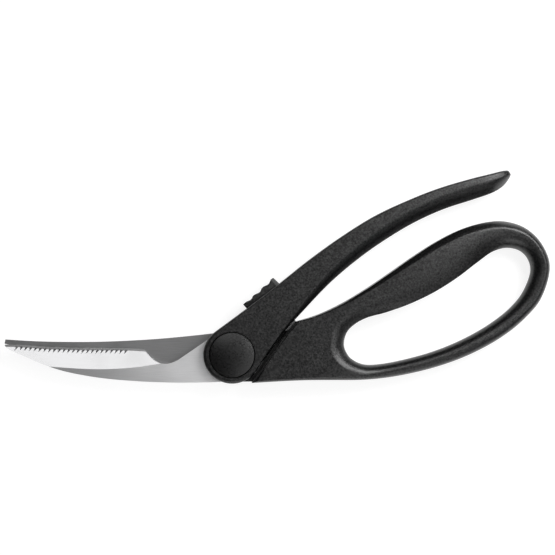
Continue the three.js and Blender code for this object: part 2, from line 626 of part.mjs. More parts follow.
// ---------------------------------------------------------------- lock
// The button's thumb side: three shallow steps that rise away from the pivot.
const BUTTON_TOP = [
  [17.6, 15.3], [19.8, 15], [22.2, 15.1], [23.2, 15.5], [24.2, 15.7], [26, 15.25], [27.5, 15.3],
  [28.8, 15.75], [30.2, 16.1], [31.6, 15.7], [32.9, 15.75], [33.9, 16.35], [34.9, 16.85], [35.9, 16.9],
];
function lockButton() {
  const base = CHANNEL_OUT + CLEAR;
  const outline = [[17.6, base], ...BUTTON_TOP, [36.6, base]].map(([s, n]) => edgePoint(s, n));
  const low = SHANK[0] + 0.1;
  const stem = edgeBox([low, SHANK[1] - 0.1], [STEM_OUT, base + 0.5], STEM_Z);
  const pinAt = edgePoint(...LOCK_PIN.at);
  return plate(outline, ...BUTTON_Z)
    .add(stem)
    .subtract(cylinder(LOCK_PIN.radius + 0.05, HOOK_Z[0], LOCK_PIN.top + 0.1, pinAt, 24));
}

const LOCK_PIN = { at: [29.2, 10.6], radius: 1, top: 11.6 };

function lockHook() {
  const outline = [
    [SHANK[0], CHANNEL_OUT], [SHANK[0], -6], [NOSE_NECK - 0.2, -6.4], [NOSE_NECK, -7], [NOSE_NECK, NOSE_OUT],
    [SHANK[0] + 0.4, NOSE_OUT], [SHANK[0], NOSE_OUT - 0.5], [SHANK[0], HOOK_TIP_OUT + 0.4],
    [SHANK[0] + 0.4, HOOK_TIP_OUT], [SHANK[1] - 0.5, HOOK_TIP_OUT], [SHANK[1], HOOK_TIP_OUT + 0.5],
    [SHANK[1], CHANNEL_OUT],
  ].map(([s, n]) => edgePoint(s, n));
  const hole = cylinder(LOCK_PIN.radius + 0.05, 0, THICK, edgePoint(...LOCK_PIN.at), 24);
  return plate(outline, ...HOOK_Z).subtract(hole);
}

// Leaf spring under the hook's shank, bowed along the slide.
function detentSpring() {
  const [from, to] = [DETENT.along[0] + 0.3, DETENT.along[1] - 0.3];
  const steps = 12;
  const leaf = 0.3;
  const rings = [];
  for (let i = 0; i <= steps; i += 1) {
    const t = i / steps;
    const z = DETENT.low + 0.1 + 0.35 * Math.sin(Math.PI * t);
    rings.push([[0.4, 0], [2.6, 0], [2.6, leaf], [0.4, leaf]].map(([n, lift]) => {
      const p = edgePoint(from + t * (to - from), DETENT.out[0] + n);
      return new THREE.Vector3(p.x, p.y, z + lift);
    }));
  }
  return skin(rings, false);
}

// ---------------------------------------------------------------- assembly
const finish = (color, roughness, metalness) =>
  new THREE.MeshStandardMaterial({ color, roughness, metalness });
const blackPlastic = finish(0x1b1b1c, 0.55, 0);
const capPlastic = finish(0x222223, 0.42, 0);
const lockPlastic = finish(0x1d1d1e, 0.5, 0);
const satinSteel = finish(0xa9abad, 0.38, 1);
const darkSteel = finish(0x8a8c8e, 0.45, 1);
const hardware = finish(0xb4b6b8, 0.3, 1);
const springSteel = finish(0x6f7276, 0.35, 1);
const bronze = finish(0xb08d57, 0.4, 1);
const rubber = finish(0x141414, 0.85, 0);

const washerLow = REAR_HUB_TOP - FLOOR - 0.1 - WASHER;
const frontFloor = FRONT_HUB_Z + FLOOR;

const pieces = [
  ["loop_handle", loopHandle(), blackPlastic],
  ["rear_blade", rearBlade(), darkSteel],
  ["pivot_bolt", pivotBolt(), hardware],
  ["rear_thrust_washer", ring(7, BOLT_R + 0.1, washerLow + 0.1, washerLow + WASHER - 0.05), hardware],
  ["rear_pivot_cap", flatCap(), capPlastic],
  ["stop_pin", cylinder(PIN_R, REAR_HUB_TOP - 1.5, 14.8, polar(PIN_ORBIT, PIN_DEG), 24), hardware],
  ["stop_bumper", bumperRod(BUMPER.radius, BUMPER.from, BUMPER.to), rubber],
  ["pivot_bush", ring(BUSH_R, BOLT_R + 0.1, REAR_HUB_TOP - 0.9, frontFloor + 0.05), bronze],
  ["lever_handle", leverHandle(), blackPlastic],
  ["front_blade", frontBlade(), satinSteel],
  ["blade_shim", ring(SHIM_R, BUSH_R + BUSH_WALL, MID + 0.02, SHIM_TOP), bronze],
  ["front_thrust_washer", ring(5, THREAD_R + 0.1, frontFloor + 0.45, frontFloor + 1.1), hardware],
  ["pivot_nut", hexNut(), hardware],
  ["torsion_spring", torsionSpring(), springSteel],
  ["front_pivot_cap", domedCap(), capPlastic],
  ["lock_button", lockButton(), lockPlastic],
  ["lock_hook", lockHook(), hardware],
  ["lock_pin", cylinder(LOCK_PIN.radius, HOOK_Z[0] + 0.1, LOCK_PIN.top, edgePoint(...LOCK_PIN.at), 24), hardware],
  ["detent_spring", detentSpring(), springSteel],
];

const shears = new THREE.Group();
for (const [name, solid, material] of pieces) {
  const mesh = new THREE.Mesh(geometryOf(solid), material);
  mesh.name = name;
  shears.add(mesh);
}

export default shears;
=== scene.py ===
"""Spring-loaded poultry shears, lying flat and closed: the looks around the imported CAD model.

Outlines are in millimetres in the row frame (origin on the pivot's axis at the rear face, blades
towards -X, +Z up) and are scaled by MM when a mesh is made. Heights and radii that the CAD
settles are read from the frame.
"""

import json
import math

import bpy
import numpy as np
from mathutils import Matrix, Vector


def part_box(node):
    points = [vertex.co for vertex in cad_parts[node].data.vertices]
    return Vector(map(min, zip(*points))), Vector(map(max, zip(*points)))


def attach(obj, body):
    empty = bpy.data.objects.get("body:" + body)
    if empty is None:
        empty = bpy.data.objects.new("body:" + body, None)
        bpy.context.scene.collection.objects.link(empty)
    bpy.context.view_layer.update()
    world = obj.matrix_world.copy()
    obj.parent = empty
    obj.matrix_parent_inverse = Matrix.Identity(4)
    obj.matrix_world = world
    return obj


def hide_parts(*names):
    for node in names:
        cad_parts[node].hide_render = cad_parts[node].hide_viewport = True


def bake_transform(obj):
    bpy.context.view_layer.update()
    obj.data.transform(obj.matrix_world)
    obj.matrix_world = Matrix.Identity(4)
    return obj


MM = 0.001
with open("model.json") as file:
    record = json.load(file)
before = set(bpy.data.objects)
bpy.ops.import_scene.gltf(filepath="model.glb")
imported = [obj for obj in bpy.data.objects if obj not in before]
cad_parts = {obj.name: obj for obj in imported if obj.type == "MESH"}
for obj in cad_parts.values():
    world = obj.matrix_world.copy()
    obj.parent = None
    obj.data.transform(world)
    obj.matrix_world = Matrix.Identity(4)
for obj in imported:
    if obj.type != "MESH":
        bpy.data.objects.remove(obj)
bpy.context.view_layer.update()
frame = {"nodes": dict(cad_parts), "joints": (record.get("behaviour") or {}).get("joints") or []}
NODES = frame["nodes"]


def cad_mm(node):
    """A CAD node's lowest and highest corner, in millimetres."""
    low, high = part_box(node)
    return np.array(low) / MM, np.array(high) / MM


# ------------------------------------------------------------------ sizes taken from the frame
THICK = cad_mm("loop_handle")[1][2]
MID = THICK / 2
REAR_BLADE_Z = [corner[2] for corner in cad_mm("rear_blade")]
FRONT_BLADE_Z = [corner[2] for corner in cad_mm("front_blade")]
BLADE_GAP = 0.1  # between a blade and the hub that carries it
REAR_HUB_TOP = REAR_BLADE_Z[0] - BLADE_GAP
FRONT_HUB_Z = FRONT_BLADE_Z[1] + BLADE_GAP
CAP_R = cad_mm("front_pivot_cap")[1][0]
CAP_BACK, CAP_TOP = (corner[2] for corner in cad_mm("front_pivot_cap"))
REAR_CAP_TOP = cad_mm("rear_pivot_cap")[1][2]
BUSH_R = cad_mm("pivot_bush")[1][0]
PIN_LOW, PIN_HIGH = cad_mm("stop_pin")
PIN_R = (PIN_HIGH[0] - PIN_LOW[0]) / 2
PIN_AT = (PIN_LOW[:2] + PIN_HIGH[:2]) / 2
OPEN_DEG = frame["joints"][0]["range_deg"][1]
SLIDE = frame["joints"][1]
LOCK_TRAVEL = SLIDE["range_m"][1] / MM

# ------------------------------------------------------------------ sizes of the visible shapes
HUB_R = 13.1
HUB_ROUND = 1.6
REAR_HUB_R = 12.8
REAR_HUB_ROUND = 0.5
SEAM = 0.06  # dark line round a pivot cap
SEAT_LIP = 0.12  # how far the mouth of a cap's seat is opened out
SPRING_WELL_R = 9.7
SPRING_WELL_FLOOR = 1
HEAD_WELL_R = 7.6
HEAD_WELL_ROOF = 1.1
WINDOW_ROOF = 2.5  # lever left in front of the stop pin's window
LEVER_CUT = 13.2  # along the lever's edge: its rear half starts here
LOOP_CUT = 12.8  # along the lever's edge: the rear hub's straight side starts here
PLAY = 0.3  # room round a part that moves
FIT = 0.1  # room round a part that stays
FAR = 300  # past every edge of the handles
ARC_POINTS = 14
STATION_STEPS = 12

# The lock's room in the lever, along its top edge and out from the line through the pivot.
CHANNEL_ALONG = (13, 37.1)
CHANNEL_OUT = 12.15
PAST_EDGE = 18
SLOT_IN = -12

# The hook's room in the loop handle: a groove for its nose, and the opening that it comes in by.
GROOVE_OUT = (-12.6, -10.2)
GROOVE_END = 35
OPENING_START = 25.2
HOOK_ROOM = 0.5

# The lock's own directions: along the lever's top edge, away from the pivot, and out from it.
ALONG = -np.array(SLIDE["axis"][:2])
OUT = np.array([-ALONG[1], ALONG[0]])


def edge_point(s, n):
    return ALONG * s + OUT * n


def cad_mm_along(node):
    """How far a CAD node reaches along the lever's edge, in millimetres."""
    co = np.array([v.co[:2] for v in NODES[node].data.vertices]) / MM
    reach = co @ ALONG
    return reach.min(), reach.max()


def polar(radius, degrees):
    angle = math.radians(degrees)
    return radius * np.array([math.cos(angle), math.sin(angle)])


def arc(radius, start, end, steps, centre=(0, 0)):
    """Points of an arc, both ends included, in degrees."""
    return [polar(radius, d) + centre for d in np.linspace(start, end, steps + 1)]


def spline(rows, steps, closed=False):
    """Centripetal Catmull-Rom curve through rows of numbers, `steps` points to a span."""
    rows = np.asarray(rows, float)
    if closed:
        padded = np.vstack([rows[-1:], rows, rows[:2]])
    else:
        ends = [2 * rows[0] - rows[1], 2 * rows[-1] - rows[-2]]
        padded = np.vstack([ends[:1], rows, ends[1:]])
    points = []
    for p0, p1, p2, p3 in zip(padded, padded[1:], padded[2:], padded[3:]):
        k0, k1, k2 = (max(np.linalg.norm(b - a) ** 0.5, 1e-4) for a, b in
                      ((p0, p1), (p1, p2), (p2, p3)))
        leave = k1 * ((p1 - p0) / k0 - (p2 - p0) / (k0 + k1) + (p2 - p1) / k1)
        arrive = k1 * ((p2 - p1) / k1 - (p3 - p1) / (k1 + k2) + (p3 - p2) / k2)
        for t in np.arange(steps) / steps:
            a, b = 1 - t, t
            points.append(a * a * (1 + 2 * b) * p1 + b * b * (1 + 2 * a) * p2
                          + a * a * b * leave - a * b * b * arrive)
    if not closed:
        points.append(rows[-1])
    return np.array(points)


def smoothstep(low, high, value):
    t = min(max((value - low) / (high - low), 0), 1)
    return t * t * (3 - 2 * t)


# ------------------------------------------------------------------ meshes
def mesh_object(name, points, faces):
    """A new object from points in millimetres."""
    mesh = bpy.data.meshes.new(name)
    mesh.from_pydata([tuple(float(c) * MM for c in p) for p in points], [], faces)
    mesh.validate()
    mesh.update()
    obj = bpy.data.objects.new(name, mesh)
    bpy.context.scene.collection.objects.link(obj)
    return obj


def face_outward(obj):
    """Turns the whole mesh inside out if its volume comes out negative."""
    mesh = obj.data
    mesh.calc_loop_triangles()
    co = np.array([v.co for v in mesh.vertices])
    tri = co[np.array([t.vertices for t in mesh.loop_triangles])]
    if np.einsum("ij,ij->i", tri[:, 0], np.cross(tri[:, 1], tri[:, 2])).sum() < 0:
        mesh.flip_normals()
    return obj


def loft(name, rings, closed=False):
    """A skin through rings of equal size, capped at its ends unless it closes on itself."""
    size = len(rings[0])
    faces = []
    for r in range(len(rings) - (not closed)):
        here, there = r * size, (r + 1) % len(rings) * size
        for k in range(size):
            following = (k + 1) % size
            faces.append((here + k, there + k, there + following, here + following))
    if not closed:
        last = (len(rings) - 1) * size
        faces.append(tuple(range(size)))
        faces.append(tuple(last + size - 1 - k for k in range(size)))
    return face_outward(mesh_object(name, np.vstack(rings), faces))


def prism(outline, low, high, soften=0.0):
    """A plate between two heights, the edges of its two faces rounded by `soften`."""
    rings = [np.array([(x, y, z) for x, y in outline]) for z in (low, high)]
    obj = loft("prism", rings)
    return soften_level_edges(obj, soften) if soften else obj


def soften_level_edges(obj, width):
    """Rounds the edges round a plate's two faces."""
    weights = obj.data.attributes.new("bevel_weight_edge", "FLOAT", "EDGE")
    heights = [v.co.z for v in obj.data.vertices]
    faces = (min(heights), max(heights))
    for edge, weight in zip(obj.data.edges, weights.data):
        a, b = (heights[v] for v in edge.vertices)
        weight.value = 1.0 if a == b and a in faces else 0.0
    bevel(obj, width, 4, "WEIGHT")
    return freeze(obj)


def edge_box(s, n, z):
    """A box in the lock's directions."""
    corners = [edge_point(s[0], n[0]), edge_point(s[1], n[0]),
               edge_point(s[1], n[1]), edge_point(s[0], n[1])]
    return prism(corners, *z)


def lathe(profile, name="lathe"):
    """A round solid on the pivot's axis from (radius, height) pairs, first and last on the axis."""
    segments = 160
    rings = []
    for radius, height in profile[1:-1]:
        rings.append([(*polar(radius, 360 * k / segments), height) for k in range(segments)])
    points = [p for ring in rings for p in ring] + [(0, 0, profile[0][1]), (0, 0, profile[-1][1])]
    foot, head = len(points) - 2, len(points) - 1
    last = (len(rings) - 1) * segments
    faces = []
    for k in range(segments):
        following = (k + 1) % segments
        faces.append((foot, following, k))
        faces.append((head, last + k, last + following))
        for r in range(len(rings) - 1):
            a, b = r * segments, (r + 1) * segments
            faces.append((a + k, a + following, b + following, b + k))
    return face_outward(mesh_object(name, points, faces))


def cylinder(radius, low, high, centre=(0, 0), segments=96):
    return prism(arc(radius, 0, 360, segments, centre)[:-1], low, high)


def bevel(obj, width, segments, limit="ANGLE"):
    """Rounds the edges that turn by more than 30 degrees, or those with a weight."""
    modifier = obj.modifiers.new("soft_edges", "BEVEL")
    modifier.width = width * MM
    modifier.segments = segments
    modifier.limit_method = limit
    modifier.angle_limit = math.radians(30)
    modifier.harden_normals = False
    modifier.miter_outer = "MITER_ARC"


def freeze(obj):
    """Applies an object's modifiers."""
    graph = bpy.context.evaluated_depsgraph_get()
    mesh = bpy.data.meshes.new_from_object(obj.evaluated_get(graph))
    obj.modifiers.clear()
    old, obj.data = obj.data, mesh
    bpy.data.meshes.remove(old)
    mesh.name = obj.name
    return obj


def combine(obj, others, operation):
    """Joins the other solids to an object, or cuts them out of it, and deletes them."""
    for other in others:
        modifier = obj.modifiers.new("solid", "BOOLEAN")
        modifier.operation = operation
        modifier.solver = "MANIFOLD"
        modifier.object = other
    freeze(obj)
    for other in others:
        bpy.data.objects.remove(other)
    return obj


def shade(obj, degrees, weighted=False):
    """Smooth shading that keeps the edges sharper than some degrees."""
    obj.data.shade_smooth()
    obj.data.set_sharp_from_angle(angle=math.radians(degrees))
    if weighted:
        modifier = obj.modifiers.new("even_normals", "WEIGHTED_NORMAL")
        modifier.keep_sharp = True
    return obj


# ------------------------------------------------------------------ moulded sections
def edge_curve(reach, drop, knee, crease):
    """A moulded edge seen in section, from the flat face (0, 0) to the side wall (reach, -drop).
    It breaks away from the face by `crease` degrees and bends most at a share `knee` of its
    reach: a low knee makes a ridge with a straight flank, a high one a full round."""
    bend = np.array([knee * reach, -knee * reach * math.tan(math.radians(crease))])
    wall = np.array([reach, -drop])
    return [2 * t * (1 - t) * bend + t * t * wall for t in np.linspace(0, 1, ARC_POINTS)]


# The most that an edge's roundings take: of a section's width, and of half its thickness.
WIDEST, DEEPEST = 0.97, 0.94


def section(first, second, first_round, second_round, half):
    """One ring across a handle, from its first edge to its second; each edge's rounding is
    (reach, drop, knee, crease)."""
    first, second = np.asarray(first), np.asarray(second)
    span = np.linalg.norm(second - first)
    scale = min(1, WIDEST * span / (first_round[0] + second_round[0]))
    first_reach, second_reach = first_round[0] * scale, second_round[0] * scale
    first_drop, second_drop = (min(rounding[1], DEEPEST * half)
                               for rounding in (first_round, second_round))
    first_curve = edge_curve(first_reach, first_drop, *first_round[2:])
    second_curve = edge_curve(second_reach, second_drop, *second_round[2:])
    upper = [(0, 0)]
    upper += [(first_reach - x, half + z) for x, z in reversed(first_curve)]
    upper += [(span - second_reach + x, half + z) for x, z in second_curve]
    upper.append((span, 0))
    lower = [(v, -z) for v, z in upper[-2:0:-1]]
    direction = (second - first) / span
    return np.array([(*(first + direction * v), MID + z) for v, z in upper + lower])


# Lever: top edge, lower edge, the lower edge's reach and drop, half the thickness, crease.
LEVER = [
    (-7.77, 10.54, 10.39, -7.97, 0.6, 1.1, 9, 6),
    (7.2, 21.6, 20.75, 7.1, 0.7, 1.3, 9, 8),
    (21.3, 32.4, 32.5, 20.2, 2.6, 3, 9, 8),
    (34.9, 43.2, 44.6, 32.8, 4.2, 4.8, 9, 8),
    (49.5, 53.7, 57.2, 43.5, 5.3, 5.6, 9, 6),
    (64.2, 62.9, 69.9, 52.5, 6, 6, 8.95, 4),
    (78.9, 69.9, 83.2, 60.4, 6.2, 6.1, 8.8, 4),
    (93.6, 75.7, 96.9, 66.6, 6.3, 6.1, 8.5, 4),
    (108.3, 80.1, 110.6, 71.1, 6.3, 5.9, 8.05, 4),
    (117.5, 82.4, 119.5, 74.3, 5.6, 4.9, 7.4, 6),
    (122.6, 83.7, 124.2, 77.3, 4.2, 5.8, 6.4, 6),
    (125.7, 84.1, 126.6, 80.3, 2.1, 4.4, 5, 5),
    (127, 83.2, 127.3, 81.7, 0.7, 2.8, 3.4, 0),
]
LEVER_TOP_ROUND = (1.0, 1.2, 0.8, 4)
LEVER_KNEE = 0.48


def lever_skin():
    """The lever's moulded outside, from the pivot to its tip."""
    rings = []
    for top_x, top_y, low_x, low_y, reach, drop, half, crease in spline(LEVER, STATION_STEPS):
        rings.append(section((top_x, top_y), (low_x, low_y), LEVER_TOP_ROUND,
                             (reach, drop, LEVER_KNEE, crease), min(half, MID)))
    return loft("lever_grip", rings)


# Loop handle, once round: outer edge, edge of the opening; reach, drop, knee and crease of the
# outer rounding, then of the inner one; half the thickness. From the top of the step that faces
# the lever to the step's foot.
LOOP = [
    (28.6, 14.8, 52.3, 10.2, 0.9, 0.9, 0.8, 4, 6.6, 4.4, 0.7, 8, 9),
    (38.5, 17.9, 56, 14, 1, 1.2, 0.5, 6, 7.4, 4, 0.64, 5, 9),
    (49.5, 23, 61.5, 16.9, 1.2, 1.7, 0.4, 8, 8.5, 4, 0.6, 3, 9),
    (60.5, 29.5, 69.8, 19.2, 1.6, 1.5, 0.35, 8, 10, 4, 0.6, 3, 9),
    (71.6, 37, 80.5, 23, 2.2, 2, 0.32, 8, 11.5, 3.4, 0.5, 3, 9),
    (82.6, 44.7, 92, 28.5, 2.8, 2.5, 0.32, 8, 12.5, 3.2, 0.45, 3, 9),
    (93.6, 51.7, 102.8, 35.3, 3.2, 2.9, 0.32, 8, 12, 3.2, 0.42, 4, 8.8),
    (104.6, 57.2, 111.9, 42.2, 3.4, 3.3, 0.4, 8, 11, 3.8, 0.5, 4, 8.4),
    (115.6, 60.4, 119.3, 47.2, 3.5, 4.2, 0.55, 8, 9.4, 5, 0.68, 4, 7.9),
    (124.6, 60.9, 126, 48.8, 3.5, 5.6, 0.7, 8, 8.3, 6.4, 0.82, 4, 7.4),
    (134, 58, 131.8, 47.4, 3.3, 6, 0.84, 6, 7.4, 6.5, 0.86, 4, 7),
    (141.3, 51.3, 135.2, 44, 2.8, 6.1, 0.87, 6, 6.6, 6.1, 0.86, 4, 6.6),
    (145.4, 40.8, 136.6, 38.4, 2.5, 5.9, 0.88, 8, 6.3, 5.9, 0.86, 4, 6.3),
    (141.5, 25.8, 133, 28.5, 2.6, 5.7, 0.88, 8, 5.9, 5.7, 0.88, 4, 6.1),
    (133.9, 16.4, 127.4, 21.5, 2.9, 5.5, 0.88, 8, 5, 5.5, 0.9, 4, 5.9),
    (122.9, 7.6, 118, 14, 3.1, 5.3, 0.9, 8, 4.6, 5.3, 0.9, 4, 5.7),
    (108.3, -0.3, 104.9, 6.6, 3.3, 5.2, 0.9, 8, 4.1, 5.2, 0.9, 4, 5.6),
    (93.6, -5.7, 91.3, 1.1, 3.3, 5.1, 0.9, 8, 3.8, 5.1, 0.9, 4, 5.5),
    (78.9, -9.3, 77.8, -2.6, 3.1, 5.1, 0.9, 8, 3.6, 5.1, 0.9, 4, 5.5),
    (67.9, -11, 68.2, -4.4, 2.9, 5, 0.9, 8, 3.7, 5.4, 0.9, 4, 5.9),
    (58, -11.6, 61.5, -4.8, 2.6, 3.8, 0.85, 8, 4.6, 6, 0.9, 6, 7.2),
    (45.9, -11.5, 56.6, -3.4, 2.9, 2.2, 0.6, 6, 5.6, 6, 0.9, 10, 8.6),
    (31.2, -11.6, 53.6, -1.2, 3.2, 1.8, 0.5, 5, 6.3, 6, 0.9, 11, 9),
    (8.9, -12.8, 51.8, 1.6, 3.2, 1.8, 0.5, 5, 6.6, 5.5, 0.9, 11, 9),
]
# The middle of the step: the same numbers without the outer edge, which runs straight there.
STEP_MIDDLE = (51, 5.2, 0.4, 0.4, 0.9, 2, 6.5, 5.5, 0.9, 11, 9)


def loop_skin():
    """The loop handle's moulded outside, once round."""
    outer = spline([row[:2] for row in LOOP], STATION_STEPS)
    foot, head = outer[-1], outer[0]
    shares = np.arange(1, 2 * STATION_STEPS) / (2 * STATION_STEPS)
    step = [foot + (head - foot) * share for share in shares]
    outer = np.vstack([outer, step])
    rest = spline([row[2:] for row in LOOP] + [STEP_MIDDLE], STATION_STEPS, closed=True)
    rings = [section(edge, row[:2], row[2:6], row[6:10], min(row[10], MID))
             for edge, row in zip(outer, rest)]
    return loft("loop_grip", rings, closed=True)


# ------------------------------------------------------------------ handles
def stop_window(low, high):
    """The arc-shaped window that the stop pin moves in."""
    orbit = np.linalg.norm(PIN_AT)
    end = math.degrees(math.atan2(PIN_AT[1], PIN_AT[0]))
    start = end - OPEN_DEG
    half = PIN_R + PLAY
    outline = arc(orbit + half, start, end, 16)
    outline += arc(half, end, end + 180, 12, polar(orbit, end))[1:-1]
    outline += arc(orbit - half, end, start, 16)
    outline += arc(half, start + 180, start + 360, 12, polar(orbit, start))[1:-1]
    return prism(outline, low, high)


def rounded_hub(radius, low, high, rounding):
    """The lever's round hub, its front edge rounded over."""
    profile = [(0, low), (radius, low)]
    for a in np.linspace(0, math.pi / 2, 12):
        profile.append((radius - rounding * (1 - math.cos(a)), high - rounding * (1 - math.sin(a))))
    return lathe(profile + [(0, high)], name="hub")


def cap_seat(radius, face, depth):
    """The recess for a cap, its mouth opened out a little; `depth` is towards the pivot's middle."""
    inward = -1 if face > MID else 1
    profile = [(0, face - inward), (radius + SEAT_LIP + 1, face - inward),
               (radius, face + inward * SEAT_LIP), (radius, face + inward * depth),
               (0, face + inward * depth)]
    return lathe(profile)


# Strips along the step that faces the lever: the share of the step at each end, measured from
# its foot, with the strip's two sides there, measured towards the opening; then the heights.
LEDGE = ((-0.2, -1, 0.65), (0.8, -1, 0.9)), (THICK - 2.2, THICK + 1)
RELIEF = ((0.8, -2, 0.6), (1.1, -1.5, 1.9)), (9.2, THICK + 1)
LOW_WALL = ((0.01, -1.25, 0.4), (0.62, -1.3, 0.4)), (0.8, 10.3)
HIGH_WALL = ((0.61, -0.65, 0.4), (0.97, 0.1, 0.4)), (0.8, 10.3)
TONGUE = ((0.3, -2.3, 0.4), (1, -1.35, 0.4)), (0.5, 2.6)
REBATE = ((0.2, -2.8, 1), (1.06, -1.7, 1)), (-1, 2.9)


def step_strip(ends, heights):
    """A plate along the step, from one of the strips above."""
    foot, head = np.array(LOOP[-1][:2]), np.array(LOOP[0][:2])
    upward = (head - foot) / np.linalg.norm(head - foot)
    inward = np.array([upward[1], -upward[0]])
    (low, *low_sides), (high, *high_sides) = ends
    corners = [(low, side) for side in low_sides] + [(high, side) for side in high_sides[::-1]]
    return prism([foot + (head - foot) * share + inward * side for share, side in corners], *heights)


def lever_grip():
    """The lever's handle: moulded skin and round hub, less the room for what it holds."""
    hook_start, hook_end = cad_mm_along("lock_hook")
    slot = (hook_start - LOCK_TRAVEL - PLAY, hook_end + PLAY)
    hook_low, hook_high = (corner[2] for corner in cad_mm("lock_hook"))
    button_low, button_high = (corner[2] for corner in cad_mm("lock_button"))
    grip = lever_skin()
    combine(grip, [edge_box((-FAR, LEVER_CUT), (-FAR, FAR), (-1, FRONT_HUB_Z))], "DIFFERENCE")
    combine(grip, [rounded_hub(HUB_R, FRONT_HUB_Z, THICK, HUB_ROUND)], "UNION")
    cutters = [
        cylinder(BUSH_R + FIT, 0, THICK),
        cylinder(SPRING_WELL_R, FRONT_HUB_Z + SPRING_WELL_FLOOR, THICK + 1),
        cap_seat(CAP_R + SEAM, THICK, THICK - CAP_BACK + FIT),
        stop_window(0, THICK - WINDOW_ROOF),
        edge_box(slot, (SLOT_IN, PAST_EDGE), (hook_low - PLAY, hook_high + PLAY)),
        edge_box(slot, (STEM_IN - PLAY, PAST_EDGE), (hook_high, STEM_Z[1] + PLAY)),
        edge_box(CHANNEL_ALONG, (CHANNEL_OUT, PAST_EDGE), (button_low - PLAY, button_high + PLAY)),
        step_strip(*REBATE),
    ]
    combine(grip, cutters, "DIFFERENCE")
    return grip


def rear_hub():
    """The loop handle's round hub, and the flat arm behind the blade that joins it to the loop."""
    cut = edge_point(LOOP_CUT, 0)
    corner = np.array([17.3, -1.9])
    arm = [(8.9, -12.7), (24, -11.4), (24, 4), corner, cut + (corner - cut) * 0.02]
    outline = arc(REAR_HUB_R, math.degrees(math.atan2(ALONG[1], ALONG[0])), 268, 96)
    return prism(outline + arm, 0, REAR_HUB_TOP, soften=REAR_HUB_ROUND)


def loop_grip():
    """The loop handle: moulded skin, hub and seam walls, less the room for what it holds."""
    grip = loop_skin()
    additions = [rear_hub()] + [step_strip(*strip) for strip in (LOW_WALL, HIGH_WALL, TONGUE)]
    combine(grip, additions, "UNION")
    hook_low, hook_high = (corner[2] for corner in cad_mm("lock_hook"))
    pocket_z = (hook_low - HOOK_ROOM, hook_high + HOOK_ROOM)
    groove_start = cad_mm_along("lock_hook")[0] - LOCK_TRAVEL - PLAY
    end_room = 0.2  # behind a cap's back and a pin's end
    cutters = [
        step_strip(*LEDGE),
        step_strip(*RELIEF),
        cap_seat(CAP_R + SEAM, 0, REAR_CAP_TOP + end_room),
        cylinder(HEAD_WELL_R, -1, REAR_HUB_TOP - HEAD_WELL_ROOF),
        cylinder(BUSH_R + FIT, -1, THICK),
        cylinder(PIN_R + FIT, PIN_LOW[2] - end_room, THICK, PIN_AT),
        edge_box((groove_start, GROOVE_END), GROOVE_OUT, pocket_z),
        edge_box((OPENING_START, GROOVE_END), (GROOVE_OUT[0], 0), pocket_z),
    ]
    combine(grip, cutters, "DIFFERENCE")
    return grip


# ------------------------------------------------------------------ pivot caps, spring, lock
def front_cap():
    """Domed cap with a thin chamfered rim."""
    rim, chamfer = 0.45, 0.12
    chamfer_low, chamfer_high = THICK - 0.55, THICK - 0.3
    profile = [(0, CAP_BACK), (CAP_R, CAP_BACK), (CAP_R, chamfer_low),
               (CAP_R - chamfer, chamfer_high)]
    inner = CAP_R - rim
    for r in np.linspace(inner, 0, 24):
        profile.append((r, THICK + (CAP_TOP - THICK) * (1 - (r / inner) ** 2)))
    return lathe(profile, name="domed_cap")


def rear_cap():
    """Flat cap with a rounded rim and a shallow ring groove."""
    groove_r, mouth, floor, depth = 7.2, 0.45, 0.1, 0.35
    rounding = 0.4
    profile = [(0, 0), (groove_r - mouth, 0), (groove_r - floor, depth), (groove_r + floor, depth),
               (groove_r + mouth, 0)]
    for a in np.linspace(0, math.pi / 2, 8):
        profile.append((CAP_R - rounding * (1 - math.sin(a)), rounding * (1 - math.cos(a))))
    return lathe(profile + [(CAP_R, REAR_CAP_TOP), (0, REAR_CAP_TOP)], name="flat_cap")


WIRE_R = 0.55
WIRE_SIDES = 20
COIL_R = 5.95
COIL_TURNS = 2.25
COIL_PITCH = 1.15
COIL_STATIONS = 60
BEND_R = 7.6  # the wire leaves the coil for its feet
PIN_FOOT_R, HUB_FOOT_R = 9, 9.1


def tube(name, path, radius):
    """A round wire along a nearly level path."""
    path = np.asarray(path, float)
    tangents = np.gradient(path, axis=0)
    angles = np.arange(WIRE_SIDES) / WIRE_SIDES * 2 * math.pi
    rings = []
    for point, tangent in zip(path, tangents):
        side = np.cross(tangent, (0, 0, 1))
        side /= np.linalg.norm(side)
        up = np.cross(side, tangent)
        up /= np.linalg.norm(up)
        rings.append(np.array([point + radius * (math.cos(a) * side + math.sin(a) * up)
                               for a in angles]))
    return loft(name, rings)


def coil_spring():
    """Two turns and a quarter, one foot behind the stop pin and one in the lever's hub."""
    low = cad_mm("torsion_spring")[0][2] + WIRE_R
    beside_pin = math.asin((PIN_R + WIRE_R + 0.08) / np.linalg.norm(PIN_AT))
    foot = math.degrees(math.atan2(PIN_AT[1], PIN_AT[0]) + beside_pin)
    end = foot + COIL_TURNS * 360
    top = low + COIL_TURNS * COIL_PITCH
    corners = [(*polar(PIN_FOOT_R, foot), low), (*polar(BEND_R, foot), low)]
    for share in np.arange(1, COIL_STATIONS) / COIL_STATIONS:
        corners.append((*polar(COIL_R, foot + share * (end - foot)), low + share * (top - low)))
    corners += [(*polar(BEND_R, end), top), (*polar(HUB_FOOT_R, end), top)]
    return tube("coil_spring", spline(corners, 6), WIRE_R)


